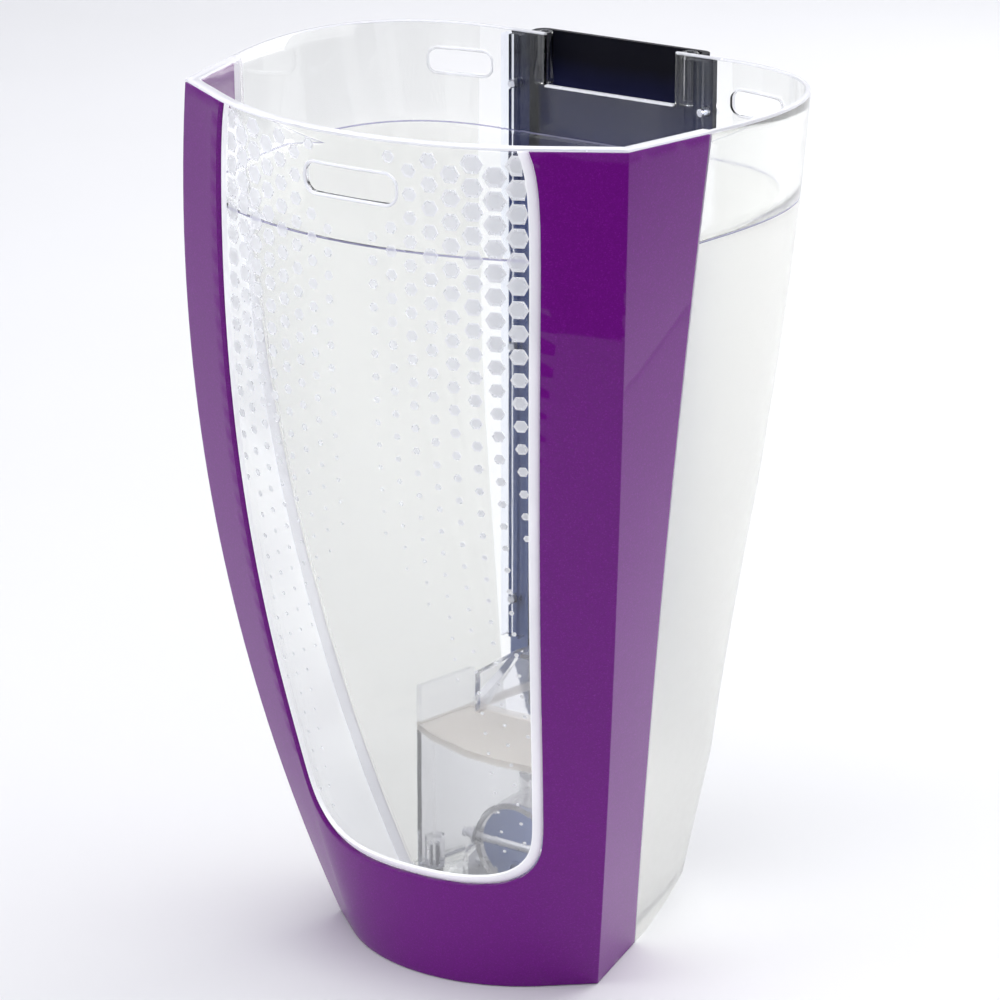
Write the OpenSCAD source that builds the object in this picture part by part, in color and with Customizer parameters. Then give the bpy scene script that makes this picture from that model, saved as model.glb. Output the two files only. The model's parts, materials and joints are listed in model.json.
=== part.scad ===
// Recovery tank of an upright carpet cleaner, with its lid off.
// A clear tapering bucket wears a purple front shroud around a clear window.
// Dirty water comes up through the inlet in the floor, past a check flap into
// a clear riser box, and climbs a flat duct behind the rear wall to the open top.
// The origin is the centre of the inlet port's mouth, on the surface the
// tank stands on. The front faces -Y, the rear duct +Y, and +Z is up.

/* [Tank] */
// Height from the base to the rim
tank_h = 320; // [300:5:340]
// Half of the body's width at the front creases
crease_half = 91.5; // [88:0.5:94]
// How much narrower each crease is at the base
crease_taper = 34.4; // [30:0.2:36]
// Wall thickness below the lid ledge
wall = 2.8; // [2.4:0.1:3]
// Wall thickness above the lid ledge
rim_wall = 2; // [1.6:0.1:2.2]
// Depth of the lid ledge below the rim
ledge_depth = 38.4; // [36:0.2:42]

/* [Front] */
// Thickness of the purple shroud
shroud_t = 2.1; // [1.8:0.1:2.2]
// Depth of the window's lowest point below the rim
window_depth = 278; // [272:1:280]
// Width of the pale trim around the window
trim_w = 3.2; // [2.4:0.1:4]

/* [Duct] */
// Outer width of the black duct cover
cover_w = 86; // [82:1:88]
// Depth of the duct behind the rear wall
duct_depth = 7; // [6:0.5:9]
// Depth of the duct mouth's sill below the rim
mouth_depth = 20; // [16:1:24]

/* [Inlet] */
// Inner diameter of the inlet port
inlet_d = 32; // [28:1:34]
// Diameter of the pin of the check flap
pin_d = 4; // [3.6:0.1:4.2]

/* [Hidden] */
$fn = 48;

purple = [0.42, 0.1, 0.5];
clear = [0.86, 0.9, 0.93, 0.35];
pale = [0.93, 0.95, 0.97];
black = [0.03, 0.03, 0.05];
rubber = [0.1, 0.1, 0.12];
steel = [0.7, 0.71, 0.74];
slate = [0.22, 0.26, 0.36];

joint_gap = 0.3;         // gap between neighbouring mouldings
rear_y = 25;             // outer face of the flat rear wall
window_s = 0.73;         // window edge, as a share of the crease half width
corner_depth = 245;      // where the window's side edges start to turn
heel_start = -21;        // the base edge rises behind this Y
heel_rise = 5.5;         // height of the base edge at the rear wall

// ---- Body outline -------------------------------------------------------
// Every level is one outline, read at t = depth below the rim / tank height.
// s runs round half of it: 0 front centre, 1 crease, 2 rear edge of the side
// facet, 3 end of the rear corner, 4 rear centre. A negative s is the left.

function crease_x(t) = crease_half - crease_taper * pow((t - 0.125) / 0.875, 2);
function crease_y(t) = -109.2 + 40.3 * pow((t - 0.1875) / 0.8125, 2);
function facet_angle(t) = 27 + 4.5 * exp(-12.8 * t) + 13 * pow(max(0, t - 0.6875) / 0.3125, 2);
function edge_x(t) = crease_half + 8.1 - 24.2 * t - 26 * t * t;
function edge_y(t) = crease_y(t) + 37.5;
function rear_slope(t) = (edge_x(t) - crease_x(t)) / (edge_y(t) - crease_y(t));
function heel_x(t) = edge_x(t) + rear_slope(t) * (rear_y - edge_y(t)) + 6 * sin(180 * t);
function flat_x(t) = min(44, heel_x(t) - 7);
function corner_power(t) = 2.35 + 1.15 * min(1, t / 0.47);

function arc_y(x, t) =
    let (a = facet_angle(t), cx = crease_x(t), wx = window_s * cx, r = wx / sin(a))
    crease_y(t) - (cx - wx) * tan(a) + r * cos(a) - sqrt(r * r - x * x);
function front_pt(s, t) =
    let (x = s * crease_x(t))
    s <= window_s ? [x, arc_y(x, t)]
                  : [x, crease_y(t) - (crease_x(t) - x) * tan(facet_angle(t))];
function facet_pt(k, t) =
    [crease_x(t) + k * (edge_x(t) - crease_x(t)), crease_y(t) + k * (edge_y(t) - crease_y(t))];
function corner_pt(k, t) =
    let (e = 2 / corner_power(t), u = pow(sin(90 * k), e), v = 1 - pow(cos(90 * k), e))
    [edge_x(t) + (heel_x(t) - edge_x(t)) * u - (heel_x(t) - flat_x(t)) * v,
     edge_y(t) + (rear_y - edge_y(t)) * u];
function flip(p) = [-p.x, p.y];
function outline(s, t) =
    s < 0 ? flip(outline(-s, t))
    : s > 4 ? flip(outline(8 - s, t))
    : s <= 1 ? front_pt(s, t)
    : s <= 2 ? facet_pt(s - 1, t)
    : s <= 3 ? corner_pt(s - 2, t)
    : [flat_x(t) * (4 - s), rear_y];

// The outline moved inwards by d, with its corners mitred
function normal(a, b) = let (e = b - a) [e.y, -e.x] / norm(e);
function inset_pt(s, t, d) =
    let (h = 0.006, p = outline(s, t),
         m = normal(outline(s - h, t), p), n = normal(p, outline(s + h, t)))
    p - d * (m + n) / (1 + m * n);
function skin_pt(s, t, d) = let (p = inset_pt(s, t, d)) [p.x, p.y, tank_h * (1 - t)];

// ---- Closed solid from a stack of rings, capped at both ends ------------
module ring_stack(rings, low_cap, high_cap) {
    n = len(rings[0]);
    m = len(rings);
    points = concat([for (r = rings) each r], [low_cap, high_cap]);
    sides = [for (i = [0:m - 2], j = [0:n - 1], side = [0, 1])
        let (k = (j + 1) % n, a = i * n + j, b = i * n + k)
        side == 0 ? [a, a + n, b + n] : [a, b + n, b]];
    low = [for (j = [0:n - 1]) [m * n, j, (j + 1) % n]];
    high = [for (j = [0:n - 1]) [m * n + 1, (m - 1) * n + (j + 1) % n, (m - 1) * n + j]];
    polyhedron(points, concat(sides, low, high));
}

// ---- Closed solid from a grid of cells with a front and a back layer ----
// front and back are rows of points; used(i, j) keeps or drops a cell.
module cell_sheet(front, back, used) {
    rows = len(front);
    cols = len(front[0]);
    layer = rows * cols;
    function at(i, j) = i * cols + j;
    function kept(i, j) = i >= 0 && j >= 0 && i < rows - 1 && j < cols - 1 && used[i][j] == 1;
    function quad(a, b, c, d) = [[a, b, c], [a, c, d]];
    cells = [for (i = [0:rows - 2], j = [0:cols - 2]) if (kept(i, j)) [i, j]];
    faces = [for (c = cells)
        let (i = c[0], j = c[1], a = at(i, j), b = at(i, j + 1), e = at(i + 1, j + 1), f = at(i + 1, j))
        each concat(
            quad(a, b, e, f),
            quad(a + layer, f + layer, e + layer, b + layer),
            kept(i - 1, j) ? [] : quad(a, a + layer, b + layer, b),
            kept(i + 1, j) ? [] : quad(f, e, e + layer, f + layer),
            kept(i, j - 1) ? [] : quad(a, f, f + layer, a + layer),
            kept(i, j + 1) ? [] : quad(b, b + layer, e + layer, e))];
    polyhedron([for (r = front) each r, for (r = back) each r], faces);
}

// ---- Tank ---------------------------------------------------------------
cover_in = shroud_t + joint_gap;   // the tank steps in by this under the shroud
lip_h = 1;                         // height of the rim lip above the shroud
floor_low = 7;
floor_top = 10;
screw_d = 3;
screw_clear = 3.6;
port_y = 0;                        // centre of the inlet bore
spigot_stop = 12;                  // the spigot's bore ends at this height
collar_y = -12;                    // centre of the inlet port's flange
neck_r = inlet_d / 2 + 3;
window_z = [60, 80];               // opening from the riser box into the duct
window_half = 26;

half_stations = concat(
    [for (i = [0:6]) window_s * i / 6], [(1 + window_s) / 2, 1, 1.33, 1.66, 1.985, 2],
    [for (i = [1:10]) 2 + i / 10], [3.5]);
last = len(half_stations) - 1;
stations = concat(half_stations, [4], [for (i = [last:-1:1]) -half_stations[i]]);

function level(t, front_in, side_in) =
    [for (s = stations) skin_pt(s, t, abs(s) < 1.99 ? front_in : side_in)];
// The base ring, whose rear edge rises to clear the machine's tray
function heel(side_in) = [for (p = level(1, cover_in + side_in, side_in))
    [p.x, p.y, heel_rise * max(0, (p.y - heel_start) / (rear_y - heel_start))]];

lip_t = lip_h / tank_h;
ledge_t = ledge_depth / tank_h;
ledge_slope_t = 0.8 / tank_h;
inner_low_t = 1 - floor_top / tank_h;

module tank_body() {
    outer = [for (i = [1:18]) level(1 - i * (1 - 0.04) / 18, cover_in, 0)];
    inner = [for (i = [0:17]) level(ledge_t + ledge_slope_t
        + (inner_low_t - ledge_t - ledge_slope_t) * i / 17, cover_in + wall, wall)];
    rings = concat(
        [level(1 - floor_low / tank_h, cover_in + wall, wall), heel(wall), heel(0)],
        outer,
        [level(lip_t + 0.001, cover_in, 0), level(lip_t, 0, 0), level(0, 0, 0),
         level(0, cover_in + rim_wall, rim_wall),
         level(ledge_t / 2, cover_in + rim_wall, rim_wall),
         level(ledge_t, cover_in + rim_wall, rim_wall)],
        inner);
    ring_stack(rings, [0, collar_y, floor_low], [0, collar_y, floor_top]);
}

// Slot in the rim wall that a lid latch snaps into
module snap_slot(w, h) {
    r = h / 2 - 1;
    rotate([90, 0, 0]) linear_extrude(30, center = true) union() {
        square([w - 2 * r, h], center = true);
        square([w, h - 2 * r], center = true);
        for (x = [-1, 1], y = [-1, 1]) translate([x * (w / 2 - r), y * (h / 2 - r)]) circle(r);
    }
}

module front_slot() {
    translate([0, -131, tank_h - 18]) snap_slot(37, 10);
}
module rear_slots() {
    for (side = [-1, 1]) translate([side * 62.5, 19, tank_h - 15]) rotate([0, 0, -side * 26])
        snap_slot(24, 8.6);
}
// Open screw bosses in the corners of the duct mouth, with a small shelf below
mouth_boss_x = 31;
module mouth_bosses() {
    for (side = [-1, 1]) translate([side * mouth_boss_x, rear_y + 3, tank_h - mouth_depth]) {
        cylinder(h = mouth_depth - 0.6, d = 6.6);
        translate([-3.3, -3.2, -1.4]) cube([6.6, 5, 1.6]);
    }
}
cover_screw_z = [100, 200, 300];
cover_screw_x = 40.4;
riser_screw_at = [[38.5, -32.5], [28.5, 16.5]];
port_screw_at = [[25.5, port_y], [-25.5, port_y], [21, -26.5], [-21, -26.5]];

module tank_shell() {
    color(clear) difference() {
        union() {
            tank_body();
            mouth_bosses();
        }
        for (side = [-1, 1]) translate([side * mouth_boss_x, rear_y + 3, tank_h - mouth_depth + 2])
            cylinder(h = mouth_depth, d = screw_d);
        front_slot();
        rear_slots();
        translate([-28, rear_y - 5, tank_h - mouth_depth]) cube([56, 10, mouth_depth + 1]);
        translate([-window_half, rear_y - 5, window_z[0]])
            cube([2 * window_half, 10, window_z[1] - window_z[0]]);
        translate([0, port_y, floor_low - 1]) cylinder(h = floor_top - floor_low + 2, r = neck_r + 0.3);
        for (z = cover_screw_z, side = [-1, 1]) translate([side * cover_screw_x, rear_y + 1, z])
            rotate([90, 0, 0]) cylinder(h = 6, d = screw_clear);
        for (p = riser_screw_at, side = [-1, 1]) translate([side * p.x, p.y, floor_low - 1])
            cylinder(h = floor_top - floor_low + 2, d = screw_clear);
        for (p = port_screw_at) translate([p.x, p.y, floor_low - 1])
            cylinder(h = floor_top - floor_low + 2, d = screw_d);
    }
}

// ---- Front shroud -------------------------------------------------------
function window_edge(h) = window_s - 0.04 * exp(-h / 9);
// The window's rounded lower edge is a superellipse. k runs from 0 at its
// side to turn_steps at its lowest point.
turn_steps = 14;
function turn_angle(k) = 45 * (1 - cos(180 * k / turn_steps));
function turn_share(k) = sqrt(cos(turn_angle(k)));
function turn_drop(k) = sqrt(sin(turn_angle(k)));
function window_low(k) = corner_depth + (window_depth - corner_depth) * turn_drop(k);

upper_rows = 15;
lower_rows = 8;
band_cols = 2 * turn_steps;
side_cols = 4;
shroud_top = lip_h + joint_gap;
facet_end = 1.98;

// Columns: two on the side facet, two on the pillar's face, then the band
// under the window, and the same again on the other side
function band_k(j) = let (k = j - side_cols) max(0, k <= turn_steps ? k : band_cols - k);
function shroud_s(j, h) =
    j > side_cols + turn_steps ? -shroud_s(2 * side_cols + band_cols - j, h)
    : j == 0 ? -facet_end : j == 1 ? -(1 + facet_end) / 2 : j == 2 ? -1
    : j == 3 ? -(1 + window_edge(h)) / 2 : -window_edge(h) * turn_share(band_k(j));
function shroud_h(i, j) =
    i < upper_rows ? shroud_top + (corner_depth - shroud_top) * i / upper_rows
    : let (top = window_low(band_k(j)))
      top + (tank_h - top) * (i - upper_rows) / lower_rows;

module front_shroud() {
    cols = 2 * side_cols + band_cols;
    rows = upper_rows + lower_rows;
    function pts(d) = [for (i = [0:rows]) [for (j = [0:cols])
        let (h = shroud_h(i, j)) skin_pt(shroud_s(j, h), h / tank_h, d)]];
    used = [for (i = [0:rows - 1]) [for (j = [0:cols - 1])
        i >= upper_rows || j < side_cols || j >= cols - side_cols ? 1 : 0]];
    color(purple) cell_sheet(pts(0), pts(shroud_t), used);
}

// ---- Pale trim between the shroud and the window ------------------------
trim_rows = 15;
trim_face = 1.75;                  // depth of the trim's outer edge below the shroud
trim_dip = 1.05;
trim_lip = 0.35;
trim_back = cover_in - 0.35;

module window_trim() {
    n = trim_rows + turn_steps;
    // k runs down one side to the middle of the lower edge
    function edge(k, inset) =
        let (turn = max(0, k - trim_rows),
             h = k <= trim_rows ? shroud_top + (corner_depth - shroud_top) * k / trim_rows
                 : corner_depth
                   + (window_depth - joint_gap - inset - corner_depth) * turn_drop(turn))
        [turn_share(turn) * (window_edge(h) - (joint_gap + inset) / crease_x(h / tank_h)), h];
    function strip(inset, d) = [for (k = [0:2 * n])
        let (e = edge(min(k, 2 * n - k), inset), side = k <= n ? 1 : -1)
        skin_pt(side * e[0], e[1] / tank_h, d)];
    front = [strip(0, trim_face), strip(trim_w / 2, trim_dip), strip(trim_w, trim_lip)];
    back = [for (x = [0, trim_w / 2, trim_w]) strip(x, trim_back)];
    used = [for (i = [0:1]) [for (j = [0:2 * n - 1]) 1]];
    color(pale) cell_sheet(front, back, used);
}

// ---- Duct on the rear wall ----------------------------------------------
seal_t = 0.8;
cover_t = 2;
cover_low = 57;
flange_low = 77;
channel_half = 35;
flange_y = rear_y + seal_t;

module flange_outline() {
    polygon([[-cover_w / 2, flange_low], [-channel_half, cover_low - 4],
        [channel_half, cover_low - 4], [cover_w / 2, flange_low],
        [cover_w / 2, tank_h - 1], [-cover_w / 2, tank_h - 1]]);
}
module upright(depth) {
    rotate([90, 0, 0]) translate([0, 0, -depth]) linear_extrude(depth) children();
}
module channel(half, depth, low, high) {
    round_r = 4;
    translate([0, 0, low]) linear_extrude(high - low) union() {
        translate([-half, 0]) square([2 * half, depth - round_r]);
        translate([-half + round_r, 0]) square([2 * (half - round_r), depth]);
        for (side = [-1, 1]) translate([side * (half - round_r), depth - round_r]) circle(round_r);
    }
}
module duct_cover() {
    color(black) difference() {
        translate([0, flange_y, 0]) union() {
            upright(cover_t) flange_outline();
            channel(channel_half + cover_t, duct_depth + cover_t, cover_low - 2, tank_h - 1);
        }
        translate([0, flange_y - 1, 0])
            channel(channel_half, duct_depth + 1, cover_low, tank_h + 1);
        cover_screw_holes(screw_clear);
    }
}
module cover_screw_holes(d) {
    for (z = cover_screw_z, side = [-1, 1]) translate([side * cover_screw_x, rear_y + 10, z])
        rotate([90, 0, 0]) cylinder(h = 30, d = d);
}
module duct_cover_seal() {
    color(rubber) difference() {
        translate([0, rear_y, 0]) upright(seal_t) flange_outline();
        translate([-channel_half, rear_y - 1, cover_low]) cube([2 * channel_half, 4, tank_h]);
        cover_screw_holes(screw_clear);
    }
}

rail_y = rear_y - wall;            // inner face of the rear wall
rail_low = 86;
rail_x = 35;
rail_w = 8.4;
rail_t = 2.2;
rail_rib = 1.2;
module duct_rail() {
    // runs up one side of the duct inside the tank, and anchors the cover's screws
    difference() {
        union() {
            translate([rail_x, rail_y - 0.2 - rail_t, rail_low])
                cube([rail_w, rail_t, tank_h - rail_low - 1]);
            for (x = [0, rail_w - rail_rib, 0.45 * rail_w]) translate([rail_x + x, rail_y - rail_t - 2, rail_low])
                cube([rail_rib, 2, tank_h - rail_low - 1]);
        }
        for (z = cover_screw_z) translate([cover_screw_x, rail_y + 1, z])
            rotate([90, 0, 0]) cylinder(h = 20, d = screw_d);
    }
}
module duct_rail_right() { color(clear) duct_rail(); }
module duct_rail_left() { color(clear) mirror([1, 0, 0]) duct_rail(); }

module pan_screw(length) {
    // head below z = 0, shank above it
    difference() {
        union() {
            translate([0, 0, -1.6]) cylinder(h = 1.6, d = 5.6);
            cylinder(h = length, d = screw_d);
        }
        for (a = [0, 90]) translate([0, 0, -1.6]) rotate([0, 0, a])
            cube([3.4, 0.8, 1.6], center = true);
    }
}
module duct_cover_screws() {
    color(steel) for (z = cover_screw_z, side = [-1, 1])
        translate([side * cover_screw_x, flange_y + cover_t, z]) rotate([90, 0, 0]) pan_screw(7.6);
}

// ---- Riser box inside the tank ------------------------------------------
riser_t = 2.2;
riser_low = floor_top + 0.8;
riser_roof = 68;
riser_top = 83;
riser_back = rail_y - 0.2;
riser_front = [[0, -50], [14, -48.8], [32.5, -43.4], [44, -37]];
riser_rear_half = 32;
// Half width of the box at a given Y on its slanted side
function riser_side(y) = 44 + (riser_rear_half - 44) * (y + 37) / (riser_back + 37);

module riser_plan() {
    polygon(concat(riser_front, [[riser_rear_half, riser_back], [-riser_rear_half, riser_back]],
        [for (i = [3:-1:1]) flip(riser_front[i])]));
}
module riser_plan_inner() {
    t = riser_t;
    polygon([[0, -50 + t], [14 - 0.2, -48.8 + t], [32, -43.4 + t], [44 - t, -37 + t / 2],
        [riser_rear_half - t, riser_back + 1], [-riser_rear_half + t, riser_back + 1],
        [-44 + t, -37 + t / 2], [-32, -43.4 + t], [-14 + 0.2, -48.8 + t]]);
}
module riser_profile(low, roof, top) {
    // side view, with the roof rising towards the duct
    rotate([90, 0, 90]) translate([0, 0, -60]) linear_extrude(120)
        polygon([[-60, low], [34, low], [34, top], [12, top], [-13, roof], [-60, roof]]);
}
module riser_housing() {
    color(clear) difference() {
        union() {
            difference() {
                intersection() {
                    linear_extrude(120) riser_plan();
                    riser_profile(riser_low, riser_roof, riser_top);
                }
                intersection() {
                    linear_extrude(120) riser_plan_inner();
                    riser_profile(0, riser_roof - riser_t, riser_top - riser_t);
                }
            }
            riser_fins();
            for (p = riser_screw_at, side = [-1, 1]) translate([side * p.x, p.y, riser_low])
                cylinder(h = 12, d = 7);
        }
        for (p = riser_screw_at, side = [-1, 1]) translate([side * p.x, p.y, 0])
            cylinder(h = 20, d = screw_d);
    }
}
module riser_fins() {
    t = riser_t;
    for (side = [-1, 1]) {
        // outer fin, in line with the side wall
        translate([0, 0, riser_roof - 1]) linear_extrude(riser_top - riser_roof + 1)
            polygon([[side * 44, -37], [side * riser_side(-10), -10],
                [side * (riser_side(-10) - t), -10], [side * (44 - t), -37]]);
        // inner fin, standing on the slope of the roof
        translate([side * 31 - t / 2, 0, 0]) rotate([90, 0, 90]) linear_extrude(t)
            polygon([[-16, riser_roof - 0.5], [-16, riser_top + 1], [13, riser_top + 1],
                [13, riser_top - 0.5], [11, riser_top - 1], [-12, riser_roof - 1]]);
    }
}
module riser_seal() {
    t = riser_t;
    color(rubber) translate([0, 0, floor_top]) linear_extrude(0.8) difference() {
        union() {
            difference() { riser_plan(); riser_plan_inner(); }
            for (p = riser_screw_at, side = [-1, 1]) translate([side * p.x, p.y]) circle(d = 7);
        }
        for (p = riser_screw_at, side = [-1, 1]) translate([side * p.x, p.y]) circle(d = screw_clear);
    }
}
module riser_screws() {
    color(steel) for (p = riser_screw_at, side = [-1, 1])
        translate([side * p.x, p.y, floor_low]) pan_screw(12);
}

// ---- Inlet port and its check flap --------------------------------------
flange_low_z = floor_top + 0.8;
flange_top_z = flange_low_z + 2.8;
flange_r = 33;
elbow_r = 18.8;                    // upright part of the port
elbow_top = 46;
mouth_r = 15;                      // bore of the port's mouth, which faces the front
mouth_wall = 2.2;
mouth_y = -37.5;
pin_y = -34.5;
pin_z = 28.5;
pin_half = 23.5;
pin_clear = 0.06;

module inlet_port() {
    color(clear) difference() {
        union() {
            translate([0, collar_y, flange_low_z])
                cylinder(h = flange_top_z - flange_low_z, r = flange_r, $fn = 96);
            translate([0, port_y, 0]) cylinder(h = flange_low_z, r = neck_r, $fn = 96);
            translate([0, port_y, flange_low_z])
                cylinder(h = elbow_top - flange_low_z, r = elbow_r, $fn = 96);
            mouth(mouth_r + mouth_wall, mouth_y);
        }
        translate([0, port_y, -1]) cylinder(h = spigot_stop + 1, d = inlet_d, $fn = 96);
        translate([0, port_y, 0]) cylinder(h = elbow_top - 2, d = inlet_d - 1.2, $fn = 96);
        mouth(mouth_r, mouth_y - 1);
        for (p = port_screw_at) translate([p.x, p.y, 5]) cylinder(h = 12, d = screw_clear);
        pin_line(pin_d / 2 + pin_clear, 50);
        ring_groove();
    }
}
// The port's mouth, a tube from the elbow towards the front
module mouth(r, front) {
    translate([0, port_y, pin_z]) rotate([90, 0, 0]) cylinder(h = port_y - front, r = r, $fn = 96);
}
// Groove round the neck for the ring that seals the port to the machine
ring_z = [2.6, 4.8];
groove_r = neck_r - 0.9;
ring_r = neck_r + 1.3;
module ring_groove() {
    translate([0, port_y, ring_z[0]]) difference() {
        cylinder(h = ring_z[1] - ring_z[0], r = neck_r + 1, $fn = 96);
        translate([0, 0, -1]) cylinder(h = 5, r = groove_r, $fn = 96);
    }
}
module inlet_ring_seal() {
    color(rubber) translate([0, port_y, ring_z[0] + 0.1]) difference() {
        cylinder(h = ring_z[1] - ring_z[0] - 0.2, r = ring_r, $fn = 96);
        translate([0, 0, -1]) cylinder(h = 5, r = groove_r + 0.03, $fn = 96);
    }
}
// A rod along the flap's axis
module pin_line(r, half) {
    translate([-half, pin_y, pin_z]) rotate([0, 90, 0]) cylinder(h = 2 * half, r = r);
}
module inlet_port_gasket() {
    color(rubber) translate([0, 0, floor_top]) difference() {
        translate([0, collar_y, 0]) cylinder(h = 0.8, r = flange_r - 1, $fn = 96);
        translate([0, port_y, -1]) cylinder(h = 3, r = neck_r + 0.2, $fn = 96);
        for (p = port_screw_at) translate([p.x, p.y, -1]) cylinder(h = 3, d = screw_clear);
    }
}
module inlet_port_screws() {
    color(steel) for (p = port_screw_at)
        translate([p.x, p.y, flange_top_z]) rotate([180, 0, 0]) pan_screw(6.6);
}
module flap_pin() {
    color(steel) pin_line(pin_d / 2, pin_half);
}
// Push-on clips that keep the pin in the mouth's walls
clip_t = 0.8;
clip_x = mouth_r + mouth_wall + 0.6;
module flap_pin_clips() {
    color(steel) for (side = [-1, 1])
        translate([side * (clip_x + clip_t / 2) - clip_t / 2, pin_y, pin_z])
            rotate([0, 90, 0]) difference() {
                cylinder(h = clip_t, r = pin_d / 2 + 1.8);
                translate([0, 0, -1]) cylinder(h = 3, r = pin_d / 2 + 0.02);
                translate([-6, -0.7, -1]) cube([6, 1.4, 3]);
            }
}
flap_r = 14.6;
flap_t = 2.4;
hub_r = 3.4;
hub_half = 12.5;
flap_front = pin_y - flap_t / 2;
module from_front(y, h, r) {
    translate([0, y, pin_z]) rotate([-90, 0, 0]) cylinder(h = h, r = r, $fn = 96);
}
module inlet_flap() {
    color(slate) difference() {
        union() {
            from_front(flap_front, flap_t, flap_r);
            difference() {
                pin_line(hub_r, hub_half);
                translate([-20, flap_front - 10, 0]) cube([40, 10, 60]);
            }
            // boss in the lower half
            translate([0, 0, -9.4]) from_front(flap_front - 0.7, 1, 3.4);
        }
        translate([0, 0, -9.4]) from_front(flap_front - 2, 2.6, 2.3);
        pin_line(pin_d / 2, 30);
    }
}
module flap_seal() {
    color(rubber) difference() {
        from_front(pin_y + flap_t / 2, 0.8, flap_r - 0.1);
        pin_line(hub_r + 0.02, 30);
    }
}
// Sleeve and leg of the spring that closes the flap
spring_x = clip_x + clip_t + 0.3;
spring_len = 3.6;
module flap_spring() {
    color(steel) {
        translate([spring_x, pin_y, pin_z]) rotate([0, 90, 0]) difference() {
            cylinder(h = spring_len, r = 3.5);
            translate([0, 0, -1]) cylinder(h = 11, r = 2.6);
        }
        translate([spring_x + spring_len - 0.6, pin_y + 3.1, flange_top_z])
            cylinder(h = pin_z - flange_top_z, r = 0.45);
    }
}

tank_shell();
front_shroud();
window_trim();
duct_cover();
duct_cover_seal();
duct_cover_screws();
duct_rail_left();
duct_rail_right();
riser_housing();
riser_seal();
riser_screws();
inlet_port();
inlet_port_gasket();
inlet_port_screws();
flap_pin();
flap_pin_clips();
flap_spring();
inlet_flap();
flap_seal();
inlet_ring_seal();
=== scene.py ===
import json
import math

import bmesh
import bpy
from mathutils import Matrix, Vector

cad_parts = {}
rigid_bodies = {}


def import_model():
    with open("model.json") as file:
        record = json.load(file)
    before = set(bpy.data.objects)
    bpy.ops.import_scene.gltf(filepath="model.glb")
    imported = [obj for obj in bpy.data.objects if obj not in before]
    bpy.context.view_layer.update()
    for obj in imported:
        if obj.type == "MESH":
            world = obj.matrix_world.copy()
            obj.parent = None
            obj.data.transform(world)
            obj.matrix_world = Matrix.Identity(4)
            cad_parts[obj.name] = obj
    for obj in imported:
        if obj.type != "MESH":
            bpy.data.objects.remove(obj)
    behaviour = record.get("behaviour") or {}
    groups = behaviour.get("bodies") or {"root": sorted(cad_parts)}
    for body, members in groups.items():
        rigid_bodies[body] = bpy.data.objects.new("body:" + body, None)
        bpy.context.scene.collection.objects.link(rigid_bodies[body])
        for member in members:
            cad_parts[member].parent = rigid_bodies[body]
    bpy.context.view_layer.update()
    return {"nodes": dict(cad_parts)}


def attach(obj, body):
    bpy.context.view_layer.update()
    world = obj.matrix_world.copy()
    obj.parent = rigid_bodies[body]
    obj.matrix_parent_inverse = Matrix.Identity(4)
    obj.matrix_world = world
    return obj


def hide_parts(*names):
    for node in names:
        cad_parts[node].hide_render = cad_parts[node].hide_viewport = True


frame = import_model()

MM = 0.001
TANK_H = 320.0

# ------------------------------------------------------------------ camera
# Made first: it looks down on the front right of the tank.
TARGET = Vector((39.8, -106.0, 190.5)) * MM
AZIMUTH, ELEVATION = math.radians(33.99), math.radians(18.81)
DISTANCE = 1.425
FOCAL = 4.195

cam_data = bpy.data.cameras.new("camera")
cam = bpy.data.objects.new("camera", cam_data)
bpy.context.scene.collection.objects.link(cam)
back = Vector((math.sin(AZIMUTH) * math.cos(ELEVATION),
               -math.cos(AZIMUTH) * math.cos(ELEVATION), math.sin(ELEVATION)))
cam.location = TARGET + back * DISTANCE
cam.rotation_mode = "QUATERNION"
cam.rotation_quaternion = (-back).to_track_quat("-Z", "Y")
cam_data.sensor_width = 36.0
cam_data.lens = 36.0 * FOCAL
cam_data.clip_start = 0.05
cam_data.clip_end = 40.0
bpy.context.scene.camera = cam


# ------------------------------------------------------------------ outline
# The body's outline, the same as in the CAD part. t is depth / height, and s
# runs 0 front centre, 1 crease, 2 facet's rear edge, 3 end of the rear
# corner, 4 rear centre; a negative s is the left half.
CREASE_HALF, CREASE_TAPER = 91.5, 34.4
REAR_Y = 25.0
WINDOW_S = 0.73
CORNER_DEPTH, WINDOW_DEPTH = 245.0, 278.0
HEEL_START, HEEL_RISE = -21.0, 5.5
SHROUD_T, JOINT_GAP = 2.1, 0.3
COVER_IN = SHROUD_T + JOINT_GAP
WALL, RIM_WALL = 2.8, 2.0
LIP_H, LEDGE_DEPTH = 1.0, 38.4
FLOOR_LOW, FLOOR_TOP = 7.0, 10.0
TRIM_W = 3.2


def crease_x(t):
    """Half width at the crease between the front and the side facet."""
    return CREASE_HALF - CREASE_TAPER * ((t - 0.125) / 0.875) ** 2


def crease_y(t):
    return -109.2 + 40.3 * ((t - 0.1875) / 0.8125) ** 2


def facet_angle(t):
    return math.radians(27 + 4.5 * math.exp(-12.8 * t) + 13 * (max(0, t - 0.6875) / 0.3125) ** 2)


def edge_x(t):
    return CREASE_HALF + 8.1 - 24.2 * t - 26 * t * t


def edge_y(t):
    return crease_y(t) + 37.5


def heel_x(t):
    slope = (edge_x(t) - crease_x(t)) / (edge_y(t) - crease_y(t))
    return edge_x(t) + slope * (REAR_Y - edge_y(t)) + 6 * math.sin(math.pi * t)


def flat_x(t):
    return min(44.0, heel_x(t) - 7)


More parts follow.
